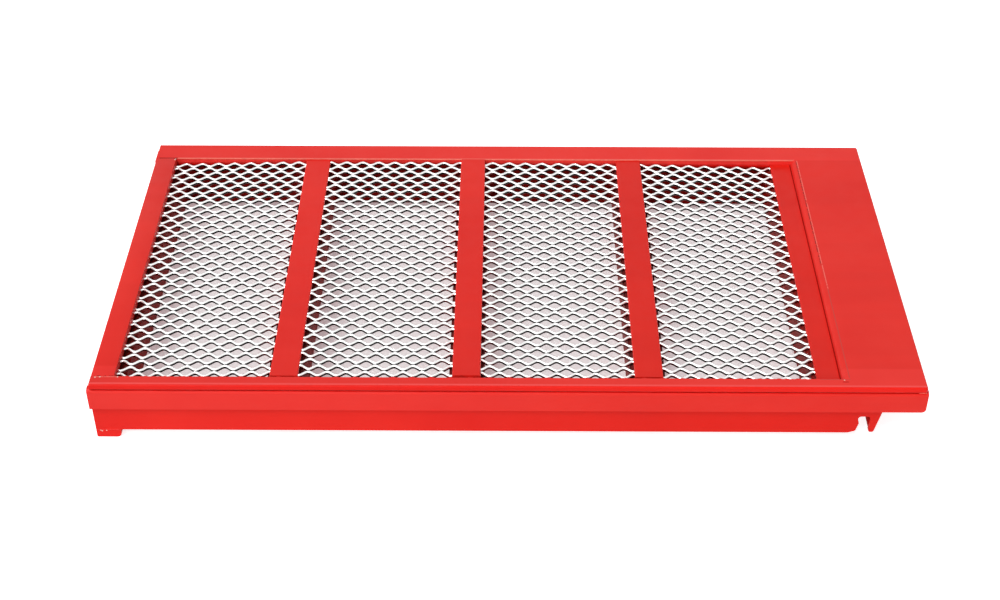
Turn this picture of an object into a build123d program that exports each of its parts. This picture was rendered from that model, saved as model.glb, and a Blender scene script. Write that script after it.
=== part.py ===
"""Framed self-cleaning screen panel: a welded steel frame that clamps a crowned wavy-wire mesh.

Millimetres. X runs along the wires, Y across the panel, Z up. The origin is the middle of the
panel at the level of the undersides of the foot lugs, and depths are measured down from the deck.
"""
from build123d import *
import os

os.makedirs("parts", exist_ok=True)

# Overall sizes
panel_length = 1000.0       # side angles, end to end
panel_width = 520.0         # over the outer faces of the two side angles
wall_depth = 75.0           # deck top to the lower edge of the side plates
foot_height = 12.0          # foot lugs below the side plates

# Cover plate: one sheet with a wide discharge end and a flange along each side
cover_thickness = 8.5
cover_left_inset = 4.0      # from the ends of the side angles
cover_right_inset = 2.0
front_flange = 16.0
rear_flange = 35.0
discharge_width = 99.0      # wide end, measured along the panel
cover_edge_radius = 2.4
cover_corner_radius = 3.0
step_radius = 6.5           # rolled edge where the wide end drops to the mesh

# Mesh crown and wires
wire = 3.5                  # depth of a wire
crown_rise = 7.0            # wires at the middle support above those at the ends
middle_wire_depth = 5.0     # deck top to wire tops at the middle support
wire_count = 25
wave_count = 21             # full waves along each wire
wire_band = 4.6             # a wire's width across the panel, along its slope
wire_gap = 0.3              # between the crests of neighbours, and to the walls
wire_end_margin = 3.0       # wire ends inside the end supports

# Bars on top of the mesh
left_rail_width = 32.5
rib_width = 34.0
rib_thickness = 5.0
rib_count = 3
feed_bay = 179.5            # clear mesh between the left rail and the first rib
rib_front_gap = 4.5         # rib end to front flange
bar_edge_radius = 1.5
end_bar_width = 28.0
end_bar_thickness = 4.0
end_bar_gap = 0.5           # to the rolled edge of the wide end

# Tubes under the mesh
tube_clearance = 1.0        # end tubes above the lower edges of the side plates
tube_wall = 3.0
tube_corner_radius = 4.0
tube_overhang = 4.0         # tube sides beyond the bar above, each side

# Side members
angle_thickness = 4.0
angle_depth = 30.0          # height of the standing leg
angle_bend_radius = 5.0     # outside of the bend
angle_end_radius = 5.0      # lower right corner
side_plate = 5.0
side_plate_left_inset = 1.8
plate_corner_radius = 1.5
inner_wall = 4.0

# Hook at the discharge end, measured back from the right end of the side angles
hook_root = 49.5            # where the outer flank leaves the angle
hook_tip = 57.0
hook_tip_width = 6.5
hook_tip_radius = 3.0
hook_tip_rise = 1.2         # tip above the lower edge of the side plate
hook_root_radius = 6.0
slot_top = 49.0             # depth of the slot's roof
slot_width = 15.5
slot_lean = 0.5             # right flank of the slot, top beyond bottom
slot_radius = 4.0
slot_nose = 3.0             # nose on the slot's left flank
slot_nose_drop = 11.0       # below the slot's roof
slot_nose_radius = 2.0
slot_shoulder = 3.0         # height and radius of the step from the nose to the flare
slot_flare = 9.0
slot_flare_radius = 8.0
doubler_thickness = 6.0
doubler_gap = 4.0           # to the tube at the discharge end
doubler_top = 16.0
doubler_corner_radius = 3.0
doubler_foot_radius = 1.5
doubler_root_radius = 4.0
doubler_tip_radius = 1.4
doubler_slot_width = 8.0
doubler_inset = 1.2         # doubler outline inside the hook

# Foot lugs at the feed end
foot_length = 30.0
foot_thickness = 12.0
foot_left_radius = 2.0
foot_right_radius = 6.0
foot_top_radius = 0.3

# Slack for cuts that run past a face and for finding an edge by its place
beyond = 1.0
nearly = 0.01

# Places that follow from the sizes above
panel_height = wall_depth + foot_height
left_end = -panel_length / 2
right_end = panel_length / 2
front_face = -panel_width / 2
rear_face = panel_width / 2
cover_left = left_end + cover_left_inset
cover_right = right_end - cover_right_inset
window_front = front_face + front_flange
window_rear = rear_face - rear_flange
step_x = cover_right - discharge_width
end_wire_depth = middle_wire_depth + crown_rise
tube_depth = wall_depth - tube_clearance - end_wire_depth - wire
end_bar_right = step_x - end_bar_gap
end_bar_left = end_bar_right - end_bar_width
rail_right = cover_left + left_rail_width
plate_front = front_face + angle_thickness
plate_inner = plate_front + side_plate
front_shelf = angle_thickness + side_plate
rear_shelf = rear_flange - inner_wall
rib_pitch = (end_bar_left - rail_right - feed_bay) / rib_count
first_rib = rail_right + feed_bay + rib_width / 2
rib_centres = [first_rib + rib_pitch * i for i in range(rib_count)]
middle_x = (rib_centres[0] + rib_centres[-1]) / 2
crown_half = middle_x - (cover_left + left_rail_width / 2)


def level(depth):
    """Height above the feet of a plane that lies depth below the deck."""
    return panel_height - depth


def wire_top_depth(x):
    """Depth of the wire tops at a support whose middle is at x: an even crown."""
    share = min(abs(x - middle_x) / crown_half, 1.0)
    return middle_wire_depth + crown_rise * share ** 2


def box(x0, x1, y0, y1, z0, z1):
    """Upright block between two corners."""
    return Pos((x0 + x1) / 2, (y0 + y1) / 2, (z0 + z1) / 2) * Box(x1 - x0, y1 - y0, z1 - z0)


def long_top_edges(bar, axis):
    """The two top edges of a bar that runs along the given axis."""
    return bar.edges().filter_by(axis).group_by(Axis.Z)[-1]


def upright_plate(outline, radii, y0, thickness):
    """Plate in the XZ plane with rounded corners, from y0 towards the rear."""
    edge = FilletPolyline(*outline, radius=radii, close=True)
    face = Plane.XZ * make_face(edge)
    return Pos(0, y0 + thickness, 0) * extrude(face, thickness)


def mirrored(solid):
    """The same piece on the other side of the panel."""
    return mirror(solid, Plane.XZ)


def supports():
    """Left and right edge of each tube under the mesh, with the depth of the wire tops there."""
    spans = [(cover_left, rail_right + tube_overhang, end_wire_depth)]
    for x in rib_centres:
        half = rib_width / 2 + tube_overhang
        spans.append((x - half, x + half, wire_top_depth(x)))
    spans.append((end_bar_left - tube_overhang, end_bar_right + tube_overhang, end_wire_depth))
    return spans


def top_cover_plate():
    """C-shaped cover: wide discharge end, rear flange and narrow front flange, rounded at its edges."""
    z0 = level(cover_thickness)
    sheet = box(cover_left, cover_right, front_face, rear_face, z0, panel_height)
    corners = sheet.edges().filter_by(Axis.Z).sort_by(Axis.X)[-2:]
    sheet = fillet(corners, cover_corner_radius)
    rims = [e for e in sheet.edges().filter_by(Axis.X) if abs(e.center().X) < panel_length / 4]
    sheet = fillet(rims, cover_edge_radius)
    sheet -= box(cover_left - beyond, step_x, window_front, window_rear, z0 - beyond, panel_height + beyond)
    rolled = [e for e in sheet.edges().filter_by(Axis.Y).group_by(Axis.Z)[-1]
              if abs(e.center().X - step_x) < nearly]
    return fillet(rolled, step_radius)


def left_end_rail():
    """Thick flat bar between the flanges at the feed end, down to the wires."""
    rail = box(cover_left, rail_right, window_front, window_rear, level(end_wire_depth), panel_height)
    return fillet(long_top_edges(rail, Axis.Y), bar_edge_radius)


def cross_rib(x):
    """Flat bar on top of the wires over a cross tube; its top follows the crown."""
    z0 = level(wire_top_depth(x))
    front = window_front + rib_front_gap
    rib = box(x - rib_width / 2, x + rib_width / 2, front, window_rear, z0, z0 + rib_thickness)
    return fillet(long_top_edges(rib, Axis.Y), bar_edge_radius)


def end_clamp_bar():
    """Thin flat bar that clamps the wire ends one step below the wide end."""
    z0 = level(end_wire_depth)
    bar = box(end_bar_left, end_bar_right, window_front, window_rear, z0, z0 + end_bar_thickness)
    return fillet(long_top_edges(bar, Axis.Y), bar_edge_radius)


def crown_slab():
    """The layer that the wires lie in: level on each tube and straight from tube to tube."""
    tops = []
    for x0, x1, depth in supports():
        tops += [(x0, level(depth)), (x1, level(depth))]
    undersides = [(x, z - wire) for x, z in reversed(tops)]
    face = Plane.XZ * make_face(Polyline(*tops, *undersides, close=True))
    return Pos(0, rear_face, 0) * extrude(face, panel_width)


def wavy_wires():
    """Crimped wires side by side, each half a wave out of step with the next: a diamond mesh."""
    x0 = cover_left + wire_end_margin
    x1 = end_bar_right - wire_end_margin
    half_wave = (x1 - x0) / wave_count / 2
    spacing = (window_rear - window_front - wire_gap) / wire_count
    swing = (spacing - wire_band - wire_gap) / 2
    slab = crown_slab()
    wires = []
    for k in range(wire_count):
        y = window_rear - wire_gap / 2 - spacing * (k + 0.5)
        turns = [(x0 + i * half_wave, y + swing * (-1) ** (i + k)) for i in range(2 * wave_count + 1)]
        rear_side = [(x, v + wire_band / 2) for x, v in turns]
        front_side = [(x, v - wire_band / 2) for x, v in reversed(turns)]
        ribbon = extrude(make_face(Polyline(*rear_side, *front_side, close=True)), panel_height)
        wires += (ribbon & slab).solids()
    return Compound(children=wires)


def cross_tube(x0, x1, top_depth):
    """Rectangular tube across the panel, butted between the front plate and the rear inner wall."""
    z1 = level(top_depth + wire)
    width = x1 - x0
    centre = Plane.XZ * Pos((x0 + x1) / 2, z1 - tube_depth / 2)
    outer = centre * RectangleRounded(width, tube_depth, tube_corner_radius)
    inner = centre * Rectangle(width - 2 * tube_wall, tube_depth - 2 * tube_wall)
    return Pos(0, window_rear, 0) * extrude(outer - inner, window_rear - plate_inner)


def side_angle(shelf_width):
    """Bent angle under a cover flange: standing leg outside, shelf inwards, radiused bend."""
    z1 = level(cover_thickness)
    z0 = z1 - angle_depth
    y1 = front_face + shelf_width
    t = angle_thickness
    section = [(front_face, z0), (front_face, z1), (y1, z1), (y1, z1 - t),
               (front_face + t, z1 - t), (front_face + t, z0)]
    face = Plane.YZ * make_face(Polyline(*section, close=True))
    angle = Pos(left_end, 0, 0) * extrude(face, panel_length)
    bend = [e for e in angle.edges().filter_by(Axis.X)
            if abs(e.center().Y - front_face) < nearly and abs(e.center().Z - z1) < nearly]
    angle = fillet(bend, angle_bend_radius)
    corner = [e for e in angle.edges().filter_by(Axis.Y)
              if abs(e.center().X - right_end) < nearly and abs(e.center().Z - z0) < nearly]
    return fillet(corner, angle_end_radius)


def side_plate_outline():
    """Outline and corner radii of a side plate, with the hook and slot at its right end."""
    root = right_end - hook_root
    tip_right = right_end - hook_tip
    tip_left = tip_right - hook_tip_width
    tip = level(wall_depth - hook_tip_rise)
    slot_left = tip_left - slot_width
    top = level(cover_thickness + angle_thickness)
    bottom = level(wall_depth)
    left = left_end + side_plate_left_inset
    corners = [
        ((left, bottom), plate_corner_radius),
        ((left, top), plate_corner_radius),
        ((root, top), plate_corner_radius),
        ((root, level(cover_thickness + angle_depth)), hook_root_radius),
        ((tip_right, tip), hook_tip_radius),
        ((tip_left, tip), hook_tip_radius),
        ((tip_left + slot_lean, level(slot_top)), slot_radius),
        ((slot_left, level(slot_top)), slot_radius),
        ((slot_left + slot_nose, level(slot_top + slot_nose_drop)), slot_nose_radius),
        ((slot_left, bottom + slot_shoulder), slot_shoulder),
        ((slot_left - slot_flare, bottom), slot_flare_radius),
    ]
    return [c[0] for c in corners], [c[1] for c in corners]


def hook_side_plate():
    """Side plate behind the angle; its lower right end is cut into a hook with an open slot."""
    outline, radii = side_plate_outline()
    return upright_plate(outline, radii, plate_front, side_plate)


def hook_doubler():
    """Thicker plate behind the hook; its slot is narrower and leans, so it takes the load of the pin."""
    root = right_end - hook_root - doubler_inset
    tip_right = right_end - hook_tip - doubler_inset
    tip = level(wall_depth - hook_tip_rise - doubler_inset)
    tip_left = tip_right - hook_tip_width + 2 * doubler_inset
    slot_left = right_end - hook_tip - hook_tip_width - slot_width + doubler_inset
    left = supports()[-1][1] + doubler_gap
    corners = [
        ((left, tip), doubler_foot_radius),
        ((left, level(doubler_top)), doubler_corner_radius),
        ((root, level(doubler_top)), doubler_corner_radius),
        ((root, level(cover_thickness + angle_depth)), doubler_root_radius),
        ((tip_right, tip), doubler_tip_radius),
        ((tip_left, tip), doubler_tip_radius),
        ((slot_left + doubler_slot_width, level(slot_top)), doubler_corner_radius),
        ((slot_left, level(slot_top)), doubler_corner_radius),
        ((slot_left - slot_nose, tip), doubler_corner_radius),
    ]
    return upright_plate([c[0] for c in corners], [c[1] for c in corners], plate_inner,
                         doubler_thickness)


def rear_inner_wall():
    """Plate that closes the rear side member towards the mesh."""
    x1 = supports()[-1][1]
    return box(cover_left, x1, window_rear, window_rear + inner_wall,
               level(wall_depth), level(cover_thickness))


def foot_lug():
    """Short lug under the side plate at the feed end, with unequal lower corners."""
    x0 = left_end + side_plate_left_inset
    x1 = x0 + foot_length
    outline = [(x0, foot_height), (x0, 0), (x1, 0), (x1, foot_height)]
    radii = [foot_top_radius, foot_left_radius, foot_right_radius, foot_top_radius]
    return upright_plate(outline, radii, plate_front, foot_thickness)


def save(name, shape):
    """Write one piece to its own STEP file."""
    export_step(shape, f"parts/{name}.step")


def main():
    save("top_cover_plate", top_cover_plate())
    save("left_end_rail", left_end_rail())
    for i, x in enumerate(rib_centres, start=1):
        save(f"cross_rib_{i}", cross_rib(x))
    save("end_clamp_bar", end_clamp_bar())
    save("wavy_wires", wavy_wires())
    tubes = [cross_tube(*span) for span in supports()]
    save("feed_end_tube", tubes[0])
    for i, tube in enumerate(tubes[1:-1], start=1):
        save(f"cross_tube_{i}", tube)
    save("discharge_tube", tubes[-1])
    save("rear_inner_wall", rear_inner_wall())
    save("front_side_angle", side_angle(front_shelf))
    save("rear_side_angle", mirrored(side_angle(rear_shelf)))
    pieces = {"side_plate": hook_side_plate(), "hook_doubler": hook_doubler(), "foot_lug": foot_lug()}
    for name, piece in pieces.items():
        save(f"front_{name}", piece)
        save(f"rear_{name}", mirrored(piece))


main()
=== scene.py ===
import math
import random

import bmesh
import bpy
import numpy as np
from mathutils import Matrix, Vector


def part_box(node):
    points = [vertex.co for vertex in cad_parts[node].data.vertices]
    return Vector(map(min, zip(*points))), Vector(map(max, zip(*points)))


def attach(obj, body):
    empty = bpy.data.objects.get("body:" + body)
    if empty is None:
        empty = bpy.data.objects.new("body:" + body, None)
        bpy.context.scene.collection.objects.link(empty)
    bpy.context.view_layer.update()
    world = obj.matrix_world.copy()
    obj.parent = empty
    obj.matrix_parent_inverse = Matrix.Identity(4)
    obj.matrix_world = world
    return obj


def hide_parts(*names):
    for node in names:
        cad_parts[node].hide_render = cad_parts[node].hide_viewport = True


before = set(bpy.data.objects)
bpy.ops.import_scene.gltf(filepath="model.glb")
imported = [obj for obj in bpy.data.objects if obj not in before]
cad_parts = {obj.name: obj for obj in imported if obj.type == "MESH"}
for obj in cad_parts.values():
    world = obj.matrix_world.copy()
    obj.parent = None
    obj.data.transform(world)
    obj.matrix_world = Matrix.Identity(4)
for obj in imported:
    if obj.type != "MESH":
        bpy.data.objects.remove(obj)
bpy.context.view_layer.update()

MM = 0.001

# Camera, solved from the panel's edges in the photograph
IMAGE_WIDTH = 1000
FOCAL_PIXELS = 1653.1
SENSOR = 36.0
NEAR_CLIP = 0.01
CAMERA_PLACE = (-2.7 * MM, -1727.9 * MM, 1379.5 * MM)
CAMERA_PITCH = 38.362
CAMERA_YAW = 0.235
CAMERA_ROLL = 0.085

# Lamps: strength, angle and the direction that they shine from. The sky has one level as a light
# and one for whatever sees it.
KEY_LAMP = (2.0, 32.0, (-0.36, -0.42, 1.0))
FRONT_LAMP = (1.24, 60.0, (-0.35, -1.0, 0.30))
SKY_LIGHT = 0.28
SKY_SEEN = 1.0

# Floor, in metres. Each UNDER pair is where the tone under the panel starts and where it is full. Under the
# panel the floor glows less and in pink, over a greener colour: painted red bounce light from the panel.
FLOOR_HALF = 6.0
FLOOR_DROP = 0.2 * MM
PAPER_DARK = (0.85, 0.85, 0.86)
PAPER_LIGHT = (0.87, 0.87, 0.875)
PAPER_UNDER = (0.90, 0.95, 0.94)
GLOW_OPEN = (1.0, 1.0, 1.0)
PAINTED_BOUNCE_GLOW = (1.0, 0.80, 0.83)
GLOW = 0.78
GLOW_DROP_UNDER = 0.45
UNDER_LEFT = (-0.49, -0.46)
UNDER_RIGHT = (0.415, 0.385)
UNDER_FRONT = (-0.245, -0.205)
UNDER_REAR = (0.26, 0.24)

# Wires of the real panel, finer than those of the frame
WIRE_COUNT = 40
WIRE_SPACING = 11.58 * MM
WAVE_COUNT = 39
WAVE_PHASE = -0.95 * math.pi
WIRE_DIAMETER = 3.9 * MM
WIRE_HEIGHT = 5.3 * MM
CREST_GAP = 1.0 * MM
RINGS_PER_WAVE = 12
RING_SIDES = 10
WIRE_GROUPS = 4
# Depth of the wire tops below the deck at the five tubes, and of the painted wire
WIRE_DEPTHS = (7.0 * MM, 2.8 * MM, 3.0 * MM, 5.0 * MM, 10.2 * MM)
PAINTED_WIRE_DEPTH = 2.0 * MM
# How far the wires in the middle of the width sit to the rear, and how that fades to the front
REARWARD_BOW = 3.4 * MM
BOW_SKEW = 0.75
BOW_FADE = 0.45
# Drift of the waves along the panel: place and shift
WAVE_DRIFT = ((-370 * MM, -0.3 * MM), (-140 * MM, -1.7 * MM), (80 * MM, 1.0 * MM), (290 * MM, 2.7 * MM))

# Looks of the wire: painted shade darkens what turns down, redder beside the bars as a painted reflection of
# the red bars
WIRE_GREY = (0.90, 0.905, 0.90)
WIRE_WHITE = (0.985, 0.985, 0.975)
UNDERSIDE_SHADE = (0.008, 0.006, 0.005)
RED_REFLECTION_SHADE = (0.130, 0.007, 0.005)
SHADE_NORMAL = (0.34, 0.42)
RED_REFLECTION_REACH = (12 * MM, 26 * MM)
WIRE_METALLIC = 0.85
WIRE_SPECULAR = 0.1
DRAW_LINE_SCALE = 900.0
DRAW_LINE_STRETCH = (0.08, 1.0, 1.0)

# Looks of the paint
PAINT_DARK = (0.755, 0.017, 0.011)
PAINT_LIGHT = (0.815, 0.024, 0.015)
STREAK_SHADE = (0.955, 0.94, 0.94)
SPECK_RED = (0.34, 0.005, 0.004)
SPECK_STRENGTH = 0.3
STREAK_STRENGTH = 0.8
STREAK_STRETCH = (0.06, 1.0, 1.0)
CLOUD_SCALE = 5.0
STREAK_SCALE = 22.0
SPECK_SCALE = 420.0
PATCH_SCALE = 14.0
SHEEN_SCALE = 60.0
DENT_SCALE = 30.0
PEEL_SCALE = 520.0
BREAK_SCALE = 330.0
GRAIN_SCALE = 200.0
NOISE_ROUGHNESS = 0.55

# Left rail: how much narrower than in the frame, and its rounded edges
RAIL_TRIM = 4.5 * MM
RAIL_ROUNDING = 0.9 * MM

# Seams: radii of the strands; length of one ripple and how strong it is
LIP_RADIUS = 0.55 * MM
STEP_SHADOW_RADIUS = 0.7 * MM
SLIT_RADIUS = 0.5 * MM
WELD_RADIUS = 0.9 * MM
LIP_RIPPLE = (9 * MM, 0.05)
WELD_RIPPLE = (2.4 * MM, 0.22)
STEPS_PER_RIPPLE = 3
SWELL = 0.15
DRAWN_IN = 0.3
STRAND_SIDES = 8

# Painted shade in the grooves, as a saturated red skin: its section as (inwards, down) in millimetres, the
# bare ends, and the waver
GROOVE_SECTION = [(0.05, 8.45), (0.5, 8.7), (0.95, 9.2), (1.15, 9.8), (1.25, 10.15)]
GROOVE_ENDS = 1.5 * MM
GROOVE_WAVER = 0.08 * MM
GROOVE_STEPS = 60


def corner(node, which):
    """One coordinate of a node's box, such as ("left_end_rail", "x1") for its highest x."""
    low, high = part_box(node)
    return (high if which[1] == "1" else low)["xyz".index(which[0])]


RIBS = ["cross_rib_1", "cross_rib_2", "cross_rib_3"]
TUBES = ["feed_end_tube", "cross_tube_1", "cross_tube_2", "cross_tube_3", "discharge_tube"]
BARS = ["left_end_rail"] + RIBS + ["end_clamp_bar"]
DECK = corner("top_cover_plate", "z1")
WINDOW_FRONT = corner("left_end_rail", "y0")
WINDOW_REAR = corner("left_end_rail", "y1")
WIRE_LEFT = corner("wavy_wires", "x0")
WIRE_RIGHT = corner("wavy_wires", "x1")
STEP = corner("end_clamp_bar", "x1")
COVER_LEFT = corner("top_cover_plate", "x0")
COVER_RIGHT = corner("top_cover_plate", "x1")
COVER_FRONT = corner("top_cover_plate", "y0")
COVER_REAR = corner("top_cover_plate", "y1")


# Node graphs
class Graph:
    """Short calls for building one node tree."""

    def __init__(self, tree, output="ShaderNodeOutputMaterial"):
        self.nodes = tree.nodes
        self.links = tree.links
        self.nodes.clear()
        self.surface_input = self.add(output).inputs["Surface"]

    def add(self, kind, **values):
        node = self.nodes.new(kind)
        for key, value in values.items():
            setattr(node, key, value)
        return node

    def link(self, source, target):
        self.links.new(source, target)

    def geometry(self, output):
        return self.add("ShaderNodeNewGeometry").outputs[output]

    def component(self, vector, axis):
        split = self.add("ShaderNodeSeparateXYZ")
        self.link(vector, split.inputs[0])
        return split.outputs[axis]

    def place(self, axis):
        """One coordinate of the shaded point in the row frame."""
        return self.component(self.geometry("Position"), axis)

    def on_deck(self):
        """1 on faces at the level of the deck, 0 below it."""
        return self.grey(self.place("Z"), DECK - 1.0 * MM, DECK - 0.4 * MM)

    def seen(self):
        """1 for camera, glossy and transmission rays, 0 for the rays that only carry light."""
        path = self.add("ShaderNodeLightPath")
        through = self.math("MAXIMUM", path.outputs["Is Glossy Ray"], path.outputs["Is Transmission Ray"])
        return self.math("MAXIMUM", path.outputs["Is Camera Ray"], through)

    def line(self, color, axis, at, half, start, end, tone, broken=0.0):
        """Blends a thin line of the given tone into color: its place on one axis, its ends on the other."""
        away = self.math("ABSOLUTE", self.math("SUBTRACT", self.place(axis), at * MM))
        run = self.place("Y" if axis == "X" else "X")
        mask = self.math("MULTIPLY", self.grey(away, half * MM, 0.4 * half * MM), self.on_deck())
        for low, high in ((start - 1.0, start + 1.0), (end + 1.0, end - 1.0)):
            mask = self.math("MULTIPLY", mask, self.grey(run, low * MM, high * MM))
        if broken:
            dashes = self.grey(self.noise(BREAK_SCALE, 2.0), broken - 0.03, broken + 0.03)
            mask = self.math("MULTIPLY", mask, dashes)
        return self.mix(mask, color, tone)

    def spot(self, color, place, radius, tone):
        """Blends a small round mark into color."""
        away = self.add("ShaderNodeVectorMath", operation="DISTANCE")
        self.link(self.geometry("Position"), away.inputs[0])
        away.inputs[1].default_value = [c * MM for c in place]
        return self.mix(self.grey(away.outputs["Value"], radius * MM, 0.5 * radius * MM), color, tone)

    def fade(self, color, axis, start, end, shade):
        """Multiplies color by a shade that comes in from start to end; Y counts to both sides."""
        place = self.place(axis)
        if axis == "Y":
            place = self.math("ABSOLUTE", place)
        along = self.grey(place, start * MM, end * MM)
        return self.mix(along, color, self.mix(1.0, color, shade, "MULTIPLY"))

    def noise(self, scale, detail, stretch=None):
        texture = self.add("ShaderNodeTexNoise")
        texture.inputs["Scale"].default_value = scale
        texture.inputs["Detail"].default_value = detail
        texture.inputs["Roughness"].default_value = NOISE_ROUGHNESS
        place = self.add("ShaderNodeTexCoord").outputs["Object"]
        if stretch:
            mapping = self.add("ShaderNodeMapping")
            mapping.inputs["Scale"].default_value = stretch
            self.link(place, mapping.inputs["Vector"])
            place = mapping.outputs["Vector"]
        self.link(place, texture.inputs["Vector"])
        return texture.outputs["Fac"]

    def ramp(self, value, low, low_color, high, high_color):
        node = self.add("ShaderNodeValToRGB")
        stops = ((low, low_color), (high, high_color))
        for element, (position, color) in zip(node.color_ramp.elements, stops):
            element.position = position
            element.color = (*color, 1.0)
        self.link(value, node.inputs["Fac"])
        return node.outputs["Color"]

    def grey(self, value, low, high, out_low=0.0, out_high=1.0):
        node = self.add("ShaderNodeMapRange", interpolation_type="SMOOTHSTEP")
        node.inputs["From Min"].default_value = low
        node.inputs["From Max"].default_value = high
        node.inputs["To Min"].default_value = out_low
        node.inputs["To Max"].default_value = out_high
        self.link(value, node.inputs["Value"])
        return node.outputs["Result"]

    def mix(self, factor, first, second, blend="MIX"):
        node = self.add("ShaderNodeMix", data_type="RGBA", blend_type=blend)
        for value, socket in ((factor, node.inputs[0]), (first, node.inputs[6]), (second, node.inputs[7])):
            if isinstance(value, (float, int)):
                socket.default_value = value
            elif isinstance(value, tuple):
                socket.default_value = (*value, 1.0)
            else:
                self.link(value, socket)
        return node.outputs[2]

    def math(self, operation, first, second=0.0):
        node = self.add("ShaderNodeMath", operation=operation)
        for value, socket in ((first, node.inputs[0]), (second, node.inputs[1])):
            if isinstance(value, (float, int)):
                socket.default_value = value
            else:
                self.link(value, socket)
        return node.outputs[0]

    def bump(self, height, strength, distance, normal=None):
        node = self.add("ShaderNodeBump")
        node.inputs["Strength"].default_value = strength
        node.inputs["Distance"].default_value = distance
        self.link(height, node.inputs["Height"])
        if normal:
            self.link(normal, node.inputs["Normal"])
        return node.outputs["Normal"]

    def surface(self, color, roughness, normal, specular, metallic=0.0):
        shader = self.add("ShaderNodeBsdfPrincipled")
        self.link(color, shader.inputs["Base Color"])
        self.link(roughness, shader.inputs["Roughness"])
        self.link(normal, shader.inputs["Normal"])
        shader.inputs["Metallic"].default_value = metallic
        shader.inputs["Specular IOR Level"].default_value = specular
        self.link(shader.outputs["BSDF"], self.surface_input)


def new_material(name):
    """An empty material and the graph that fills it."""
    material = bpy.data.materials.new(name)
    material.use_nodes = True
    return material, Graph(material.node_tree)


def red_paint(name, tint, specular, painted_shade_by_height=None, lines=(), spots=(), fades=()):
    """Sprayed semi-gloss red over rolled steel: soft peel, faint clouds and roll streaks, a few specks."""
    material, g = new_material(name)
    cloudy = g.ramp(g.noise(CLOUD_SCALE, 3.0), 0.35, PAINT_DARK, 0.65, PAINT_LIGHT)
    streak = g.noise(STREAK_SCALE, 3.0, STREAK_STRETCH)
    streaks = g.ramp(streak, 0.4, STREAK_SHADE, 0.65, (1.0, 1.0, 1.0))
    color = g.mix(STREAK_STRENGTH, cloudy, streaks, "MULTIPLY")
    specks = g.grey(g.noise(SPECK_SCALE, 2.0), 0.72, 0.78)
    patches = g.grey(g.noise(PATCH_SCALE, 3.0), 0.56, 0.76)
    specks = g.math("MULTIPLY", g.math("MULTIPLY", specks, patches), SPECK_STRENGTH)
    color = g.mix(specks, color, SPECK_RED)
    color = g.mix(1.0, color, tint, "MULTIPLY")
    # Painted shade by height: below low the colour takes the shade's multiplier, above high it keeps its own
    if painted_shade_by_height:
        low, high, shade = painted_shade_by_height
        lit = g.grey(g.place("Z"), low, high)
        color = g.mix(lit, g.mix(1.0, color, shade, "MULTIPLY"), color)
    for fade in fades:
        color = g.fade(color, *fade)
    for mark in lines:
        color = g.line(color, *mark)
    for mark in spots:
        color = g.spot(color, *mark)
    roughness = g.grey(g.noise(SHEEN_SCALE, 4.0), 0.3, 0.7, 0.40, 0.48)
    peel = g.bump(g.noise(PEEL_SCALE, 2.0), 0.05, 0.1 * MM)
    normal = g.bump(g.noise(DENT_SCALE, 2.0), 0.05, 0.4 * MM, peel)
    g.surface(color, roughness, normal, specular)
    return material


def bright_wire():
    """Bright drawn wire: pale on top with fine draw lines; painted shade darkens the underside, redder beside
    the bars as a painted reflection of their red paint.
    """
    material, g = new_material("bright_wire")
    lines = g.noise(DRAW_LINE_SCALE, 3.0, DRAW_LINE_STRETCH)
    top = g.ramp(lines, 0.3, WIRE_GREY, 0.7, WIRE_WHITE)
    beside = None
    for bar in BARS:
        for side in ("x0", "x1"):
            away = g.math("ABSOLUTE", g.math("SUBTRACT", g.place("X"), corner(bar, side)))
            beside = g.math("MINIMUM", beside, away) if beside else away
    # Painted shade on the wire's underside, redder near the bars as a painted reflection of them
    painted_shade = g.mix(g.grey(beside, *RED_REFLECTION_REACH), RED_REFLECTION_SHADE, UNDERSIDE_SHADE)
    facing_up = g.grey(g.component(g.geometry("Normal"), "Z"), *SHADE_NORMAL)
    color = g.mix(facing_up, painted_shade, top)
    roughness = g.grey(lines, 0.3, 0.7, 0.30, 0.42)
    normal = g.bump(lines, 0.08, 0.05 * MM)
    g.surface(color, roughness, normal, WIRE_SPECULAR, WIRE_METALLIC)
    return material


def floor_paper():
    """Pale floor that reads as white to the camera and keeps the object's shadow, with a pink glow under the
    panel as painted red bounce light.
    """
    material, g = new_material("floor_paper")
    grain = g.ramp(g.noise(GRAIN_SCALE, 2.0), 0.4, PAPER_DARK, 0.6, PAPER_LIGHT)
    under = g.math("MULTIPLY", g.grey(g.place("X"), *UNDER_LEFT), g.grey(g.place("X"), *UNDER_RIGHT))
    for start, end in (UNDER_FRONT, UNDER_REAR):
        under = g.math("MULTIPLY", under, g.grey(g.place("Y"), start, end))
    diffuse = g.add("ShaderNodeBsdfDiffuse")
    g.link(g.mix(under, grain, PAPER_UNDER), diffuse.inputs["Color"])
    # Under the panel the glow is weaker and pink: painted red bounce light from the panel
    glow = g.add("ShaderNodeEmission")
    g.link(g.mix(under, GLOW_OPEN, PAINTED_BOUNCE_GLOW), glow.inputs["Color"])
    level = g.math("SUBTRACT", GLOW, g.math("MULTIPLY", under, GLOW_DROP_UNDER))
    g.link(g.math("MULTIPLY", g.seen(), level), glow.inputs["Strength"])
    both = g.add("ShaderNodeAddShader")
    g.link(diffuse.outputs[0], both.inputs[0])
    g.link(glow.outputs[0], both.inputs[1])
    g.link(both.outputs[0], g.surface_input)
    return material


# Tones of the marks, and the height of the lug's front face in millimetres
PALE_TONE = (0.86, 0.17, 0.14)
DULL = (0.60, 0.06, 0.05)
DEEP = (0.30, 0.008, 0.006)
DARK_RED = (0.50, 0.006, 0.004)
SHEEN = (0.90, 0.085, 0.08)
WHITISH = (0.88, 0.62, 0.52)
LUG_FACE = -256.0

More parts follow.
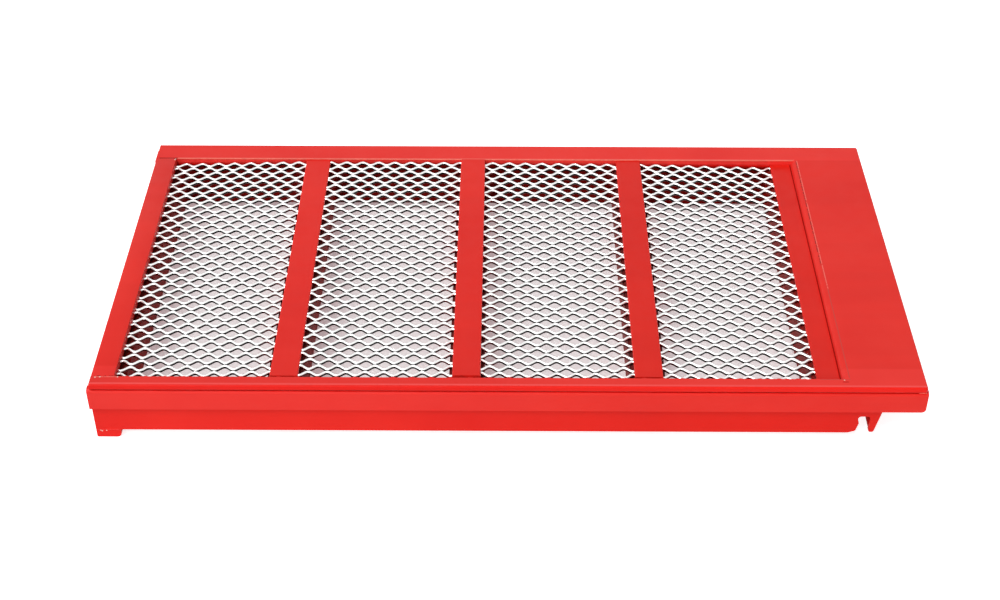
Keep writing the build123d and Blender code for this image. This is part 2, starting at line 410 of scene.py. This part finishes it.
# Marks on the deck: axis, place, half width, start, end, tone, how broken. Millimetres.
DECK_LINES = [
    # Painted highlight along the cover's front edge
    ("Y", -256.6, 2.0, -495.0, 497.0, SHEEN),
    # Painted highlight along the rear flange's inner edge, then painted shadow across the rail's rear end at
    # the flange
    ("Y", 225.7, 0.9, -466.0, 404.0, PALE_TONE),
    ("Y", 225.2, 1.2, -492.0, -466.0, DEEP),
    ("Y", -245.0, 0.8, -492.0, -464.0, PALE_TONE, 0.42),
    ("Y", -243.2, 0.7, -489.0, -469.0, DEEP, 0.52),
    ("Y", -244.8, 0.7, 372.0, 408.0, DULL),
    ("Y", -249.0, 1.1, 398.2, 405.3, DARK_RED),
    # Painted highlight on the step's cut edge, in dashes, and painted shadow at the step's foot; towards the
    # front the edge line goes on in a duller tone
    ("X", 407.4, 0.85, -70.0, 224.0, PALE_TONE, 0.40),
    ("X", 405.9, 0.8, -20.0, 222.0, DEEP, 0.46),
    ("X", 407.2, 0.8, -242.0, -70.0, DULL),
]
# Bare flecks: place and radius
DECK_SPOTS = [((x, y, DECK / MM), radius, WHITISH) for x, y, radius in (
    (-490.3, -246.0, 1.2), (-484.7, -245.2, 1.3), (-463.6, -245.2, 1.2), (-469.5, 221.0, 1.4),
    (-468.6, 223.4, 1.2), (400.6, -245.6, 1.0))]
FOOT_SPOTS = [((x, LUG_FACE, z), radius, WHITISH) for x, z, radius in (
    (-492.6, 10.8, 1.1), (-491.0, 9.6, 1.1), (-485.6, 10.4, 1.0))]
# Slow changes of shade: axis, from, to, shade. The ones darker to the right, on the cover's edge faces and
# low on the cover towards the groove are painted shade; the flanges are made lighter and paler
RIGHTWARD_PAINTED_SHADE = ("X", -200.0, 260.0, (0.89, 0.62, 0.50))
FLANGE_FADE = ("Y", 223.0, 227.0, (1.07, 1.3, 1.4))
EDGE_PAINTED_SHADE = ("Y", 257.4, 258.4, (0.92, 0.22, 0.12))
ROOT_PAINTED_SHADE = ("Z", 81.5, 79.0, (0.80, 0.60, 0.60))
# Painted shade on the inner faces: heights between which it comes in, and the shade below them. The tubes are
# painted dark near the top and lighter lower down; the inner wall is painted dark below the wires
TUBE_PAINTED_SHADE = (DECK - 19 * MM, DECK - 14 * MM, (3.0, 0.6, 0.4))
WALL_PAINTED_SHADE = (DECK - 14 * MM, DECK - 8 * MM, (0.30, 0.6, 0.6))

# The outer paint and the plates get darker to the right: painted shade
PAINT = red_paint("red_paint", (1.0, 1.15, 1.2), 0.22, fades=[RIGHTWARD_PAINTED_SHADE])
# The deck paint's paler green and blue stand in for the sheen that its low specular leaves out: painted sheen
DECK_PAINT = red_paint("deck_paint", (0.985, 1.45, 1.7), 0.15, lines=DECK_LINES, spots=DECK_SPOTS,
                       fades=[FLANGE_FADE, EDGE_PAINTED_SHADE, ROOT_PAINTED_SHADE])
PLATE_PAINT = red_paint("plate_paint", (0.98, 0.85, 0.8), 0.13, spots=FOOT_SPOTS, fades=[RIGHTWARD_PAINTED_SHADE])
# A saturated red with little sheen for the groove skins: painted shade
GROOVE_SHADE_PAINT = red_paint("groove_shade_paint", (1.25, 0.3, 0.25), 0.03)
# The tubes and the inner wall take darker copies of the paint: painted shade under the mesh
SHADED_TUBE_PAINT = red_paint("shaded_tube_paint", (0.18, 1.0, 1.4), 0.02, TUBE_PAINTED_SHADE)
SHADED_WALL_PAINT = red_paint("shaded_wall_paint", (0.95, 0.35, 0.3), 0.03, WALL_PAINTED_SHADE)
# A pale pink copy of the paint: painted highlight on the rear lip and painted light in the slit at the front
# right
HIGHLIGHT_PAINT = red_paint("highlight_paint", (1.05, 8.0, 9.0), 0.30)
# A darker copy of the paint: painted shade on the hook doublers and painted shadow at the step's foot
SHADED_PAINT = red_paint("shaded_paint", (0.38, 0.3, 0.3), 0.05)
STEEL = bright_wire()


def piece(name, vertices, faces, material):
    """A smooth mesh object in the row frame that rides on the panel."""
    mesh = bpy.data.meshes.new(name)
    mesh.from_pydata(vertices, [], faces)
    mesh.update()
    mesh.materials.append(material)
    mesh.polygons.foreach_set("use_smooth", [True] * len(mesh.polygons))
    made = bpy.data.objects.new(name, mesh)
    bpy.context.scene.collection.objects.link(made)
    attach(made, "root")
    return made


def tube_faces(rings, sides, start=0):
    """Sides and both ends of a tube of that many rings, whose first vertex has the number start."""
    faces = []
    for i in range(rings - 1):
        for j in range(sides):
            a = start + i * sides + j
            b = start + i * sides + (j + 1) % sides
            faces.append((a, b, b + sides, a + sides))
    first = range(start, start + sides)
    last = range(start + (rings - 1) * sides, start + rings * sides)
    return faces + [tuple(reversed(first)), tuple(last)]


# Mesh of wavy wires
def crown_points():
    """Corners of the line that the wire tops follow: level on each tube, straight in between."""
    points = []
    for tube, depth in zip(TUBES, WIRE_DEPTHS):
        points += [(corner(tube, "x0"), DECK - depth), (corner(tube, "x1"), DECK - depth)]
    return points


def wire_rings(k, crown):
    """Vertices of wire k: a ring for each step along its wave."""
    radius, rise = WIRE_DIAMETER / 2, WIRE_HEIGHT / 2
    swing = (WIRE_SPACING - WIRE_DIAMETER - CREST_GAP) / 2
    steps = WAVE_COUNT * RINGS_PER_WAVE
    x = np.linspace(WIRE_LEFT, WIRE_RIGHT, steps + 1)
    drifted = x - np.interp(x, [p[0] for p in WAVE_DRIFT], [p[1] for p in WAVE_DRIFT])
    angle = 2 * np.pi * WAVE_COUNT * (drifted - WIRE_LEFT) / (WIRE_RIGHT - WIRE_LEFT) + WAVE_PHASE + k * np.pi
    y0 = WINDOW_REAR - CREST_GAP / 2 - WIRE_SPACING * (k + 0.5)
    forward = k / WIRE_COUNT
    y0 += REARWARD_BOW * math.sin(math.pi * forward ** BOW_SKEW) * (1 - BOW_FADE * forward)
    y = y0 + swing * np.sin(angle)
    z = np.interp(x, [p[0] for p in crown], [p[1] for p in crown]) - rise
    along = np.stack([np.gradient(x), np.gradient(y)])
    along /= np.linalg.norm(along, axis=0)
    turn = np.arange(RING_SIDES) * 2 * np.pi / RING_SIDES + np.pi / RING_SIDES
    rings = np.empty((steps + 1, RING_SIDES, 3))
    rings[:, :, 0] = x[:, None] - along[1][:, None] * radius * np.cos(turn)
    rings[:, :, 1] = y[:, None] + along[0][:, None] * radius * np.cos(turn)
    rings[:, :, 2] = z[:, None] + rise * np.sin(turn)
    return rings.reshape(-1, 3).tolist()


def wire_mesh():
    """All wires, in a few groups of neighbours, and the painted one under the front flange."""
    crown = crown_points()
    rings = WAVE_COUNT * RINGS_PER_WAVE + 1
    for group, wires in enumerate(np.array_split(np.arange(WIRE_COUNT), WIRE_GROUPS), start=1):
        vertices, faces = [], []
        for k in wires:
            faces += tube_faces(rings, RING_SIDES, len(vertices))
            vertices += wire_rings(int(k), crown)
        made = piece(f"wire_group_{group}", vertices, faces, STEEL)
        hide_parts("wavy_wires")
    level = [(WIRE_LEFT, DECK - PAINTED_WIRE_DEPTH), (WIRE_RIGHT, DECK - PAINTED_WIRE_DEPTH)]
    vertices = wire_rings(WIRE_COUNT, level)
    made = piece("painted_front_wire", vertices, tube_faces(rings, RING_SIDES), PAINT)
    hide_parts("wavy_wires")


# Seams and welds, and strands of painted highlight and shadow
def strand_rings(points, radii):
    """Vertices of a round strand through the points, with a radius for each."""
    points = np.array(points, float)
    along = np.gradient(points, axis=0)
    along /= np.linalg.norm(along, axis=1)[:, None]
    across = np.cross(along, (0.0, 0.0, 1.0))
    across /= np.linalg.norm(across, axis=1)[:, None]
    up = np.cross(across, along)
    turn = np.arange(STRAND_SIDES) * 2 * np.pi / STRAND_SIDES
    rings = (points[:, None] + np.array(radii)[:, None, None]
             * (across[:, None] * np.cos(turn)[None, :, None] + up[:, None] * np.sin(turn)[None, :, None]))
    return rings.reshape(-1, 3).tolist()


def bead(start, end, radius, ripple, rng):
    """Points and radii of a rippled weld bead or lip from start to end."""
    start, end = np.array(start), np.array(end)
    step, strength = ripple
    length = float(np.linalg.norm(end - start))
    count = max(3, int(length / step * STEPS_PER_RIPPLE))
    points, radii = [], []
    for i in range(count + 1):
        # A spare draw, which keeps the others in their order
        rng.random()
        swell = 1 + strength * math.sin(i * 2 * math.pi / STEPS_PER_RIPPLE) + rng.uniform(-SWELL, SWELL)
        points.append(start + (end - start) * i / count)
        radii.append(radius * swell)
    return points, radii


def strand_piece(name, beads, material):
    """One piece made of several beads, each drawn in at its ends."""
    vertices, faces = [], []
    for points, radii in beads:
        radii[0] *= DRAWN_IN
        radii[-1] *= DRAWN_IN
        faces += tube_faces(len(points), STRAND_SIDES, len(vertices))
        vertices += strand_rings(points, radii)
    piece(name, vertices, faces, material)


def groove_strip(name, left, right, section):
    """A long skin: the (y, z) section swept from left to right, with a slight waver of its height."""
    rng = random.Random(len(name))
    size = len(section)
    vertices, faces = [], []
    drift = [rng.uniform(-GROOVE_WAVER, GROOVE_WAVER) for _ in range(GROOVE_STEPS + 1)]
    for i in range(GROOVE_STEPS + 1):
        x = left + (right - left) * i / GROOVE_STEPS
        vertices += [(x, y, z + drift[i] * math.sin(math.pi * n / (size - 1)))
                     for n, (y, z) in enumerate(section)]
    for i in range(GROOVE_STEPS):
        for n in range(size - 1):
            a = i * size + n
            faces.append((a, a + 1, a + size + 1, a + size))
    piece(name, vertices, faces, GROOVE_SHADE_PAINT)


def groove_skins():
    """Saturated red skins in the grooves between the cover and the side angles: painted shade."""
    left, right = COVER_LEFT + GROOVE_ENDS, COVER_RIGHT - GROOVE_ENDS
    front = [(COVER_FRONT + y * MM, DECK - depth * MM) for y, depth in GROOVE_SECTION]
    rear = [(COVER_REAR - y * MM, DECK - depth * MM) for y, depth in reversed(GROOVE_SECTION)]
    groove_strip("front_groove_paint", left, right, front)
    groove_strip("rear_groove_paint", left, right, rear)


def seams():
    """Strands where the sheets, bars and lugs meet: a pale lip as painted highlight on the rear flange's
    edge, a dark strand as painted shadow at the step's foot, a pale strand as painted light in the front
    right slit, and welds along the foot lugs.
    """
    rng = random.Random(7)
    lip_left, lip_right = corner("left_end_rail", "x1") - RAIL_TRIM, STEP + 5 * MM
    lip_y, lip_z = WINDOW_REAR - 0.15 * MM, DECK - 0.7 * MM
    # A pale lip along the rear flange's edge: painted highlight
    lip = bead((lip_left, lip_y, lip_z), (lip_right, lip_y, lip_z), LIP_RADIUS, LIP_RIPPLE, rng)
    strand_piece("rear_lip_highlight", [lip], HIGHLIGHT_PAINT)
    # A dark strand at the foot of the step: painted shadow
    shadow_x, shadow_z = STEP + 0.2 * MM, corner("end_clamp_bar", "z1") - 0.5 * MM
    shadow_rear, shadow_front = WINDOW_REAR - 1 * MM, WINDOW_FRONT + 1 * MM
    shadow_strand = bead((shadow_x, shadow_rear, shadow_z), (shadow_x, shadow_front, shadow_z), STEP_SHADOW_RADIUS, WELD_RIPPLE, rng)
    strand_piece("step_shadow", [shadow_strand], SHADED_PAINT)
    # A pale strand in the slit at the front right: painted light
    slit_left, slit_right = COVER_RIGHT - 10 * MM, COVER_RIGHT - 1 * MM
    slit_y, slit_z = COVER_FRONT + 0.9 * MM, DECK - 8.4 * MM
    slit = bead((slit_left, slit_y, slit_z), (slit_right, slit_y, slit_z), SLIT_RADIUS, WELD_RIPPLE, rng)
    strand_piece("slit_light", [slit], HIGHLIGHT_PAINT)
    weld_left, weld_right = corner("front_foot_lug", "x0") + 1 * MM, corner("front_foot_lug", "x1") - 1 * MM
    under = corner("front_side_plate", "z0")
    welds = []
    for y in (corner("front_foot_lug", "y0") + 0.3 * MM, corner("rear_foot_lug", "y1") - 0.3 * MM):
        welds.append(bead((weld_left, y, under), (weld_right, y, under), WELD_RADIUS, WELD_RIPPLE, rng))
    strand_piece("foot_welds", welds, PAINT)


def rounded_bar(name, node, low, high, radius, material):
    """A bar with rounded edges in place of a node."""
    shape = bmesh.new()
    bmesh.ops.create_cube(shape, size=1.0)
    for vertex in shape.verts:
        vertex.co = Vector([(a + b) / 2 + c * (b - a) for a, b, c in zip(low, high, vertex.co)])
    bmesh.ops.bevel(shape, geom=shape.edges[:], offset=radius, segments=3, affect="EDGES", profile=0.5)
    vertices = [tuple(v.co) for v in shape.verts]
    faces = [tuple(v.index for v in f.verts) for f in shape.faces]
    shape.free()
    made = piece(name, vertices, faces, material)
    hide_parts(node)


def paint_frame():
    """The CAD plates keep their shape and take the red paint, with painted shade on the inner faces and the
    hook doublers; the left rail is trimmed.
    """
    special = {"top_cover_plate": DECK_PAINT, "rear_inner_wall": SHADED_WALL_PAINT,
               "front_side_plate": PLATE_PAINT, "rear_side_plate": PLATE_PAINT,
               "front_foot_lug": PLATE_PAINT, "rear_foot_lug": PLATE_PAINT,
               # The hook doublers take the darker copy: painted shade
               "front_hook_doubler": SHADED_PAINT, "rear_hook_doubler": SHADED_PAINT}
    for name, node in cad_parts.items():
        if name != "wavy_wires":
            node.data.materials.clear()
            node.data.materials.append(SHADED_TUBE_PAINT if name in TUBES else special.get(name, PAINT))
    low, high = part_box("left_end_rail")
    narrowed = (high[0] - RAIL_TRIM, high[1], high[2])
    rounded_bar("left_rail_bar", "left_end_rail", low, narrowed, RAIL_ROUNDING, DECK_PAINT)


# Studio
def floor():
    """A large flat floor just under the feet."""
    low, high = -FLOOR_HALF, FLOOR_HALF
    mesh = bpy.data.meshes.new("floor")
    mesh.from_pydata([(low, low, 0), (high, low, 0), (high, high, 0), (low, high, 0)], [], [(0, 1, 2, 3)])
    mesh.materials.append(floor_paper())
    made = bpy.data.objects.new("floor", mesh)
    made.location.z = -FLOOR_DROP
    bpy.context.scene.collection.objects.link(made)


def sun(name, strength, angle, direction):
    """A sun lamp that shines from the given direction."""
    lamp = bpy.data.lights.new(name, "SUN")
    lamp.energy = strength
    lamp.angle = math.radians(angle)
    made = bpy.data.objects.new(name, lamp)
    made.rotation_euler = Vector(direction).to_track_quat("Z", "Y").to_euler()
    bpy.context.scene.collection.objects.link(made)


def surroundings():
    """White to whatever sees it, dimmer as a light."""
    world = bpy.data.worlds.new("surroundings")
    world.use_nodes = True
    bpy.context.scene.world = world
    g = Graph(world.node_tree, "ShaderNodeOutputWorld")
    sky = g.add("ShaderNodeBackground")
    sky.inputs["Color"].default_value = (1.0, 1.0, 1.0, 1.0)
    g.link(g.grey(g.seen(), 0.0, 1.0, SKY_LIGHT, SKY_SEEN), sky.inputs["Strength"])
    g.link(sky.outputs[0], g.surface_input)


def photo_camera():
    """The camera that took the photograph."""
    lens = bpy.data.cameras.new("camera")
    lens.sensor_width = SENSOR
    lens.lens = FOCAL_PIXELS / IMAGE_WIDTH * SENSOR
    lens.clip_start = NEAR_CLIP
    camera = bpy.data.objects.new("camera", lens)
    turn = (Matrix.Rotation(math.radians(CAMERA_YAW), 4, "Z")
            @ Matrix.Rotation(math.radians(90 - CAMERA_PITCH), 4, "X")
            @ Matrix.Rotation(math.radians(CAMERA_ROLL), 4, "Z"))
    camera.matrix_world = Matrix.Translation(CAMERA_PLACE) @ turn
    bpy.context.scene.collection.objects.link(camera)
    bpy.context.scene.camera = camera
    bpy.context.scene.view_settings.view_transform = "Standard"


paint_frame()
wire_mesh()
groove_skins()
seams()
floor()
sun("key_lamp", *KEY_LAMP)
sun("front_lamp", *FRONT_LAMP)
surroundings()
photo_camera()
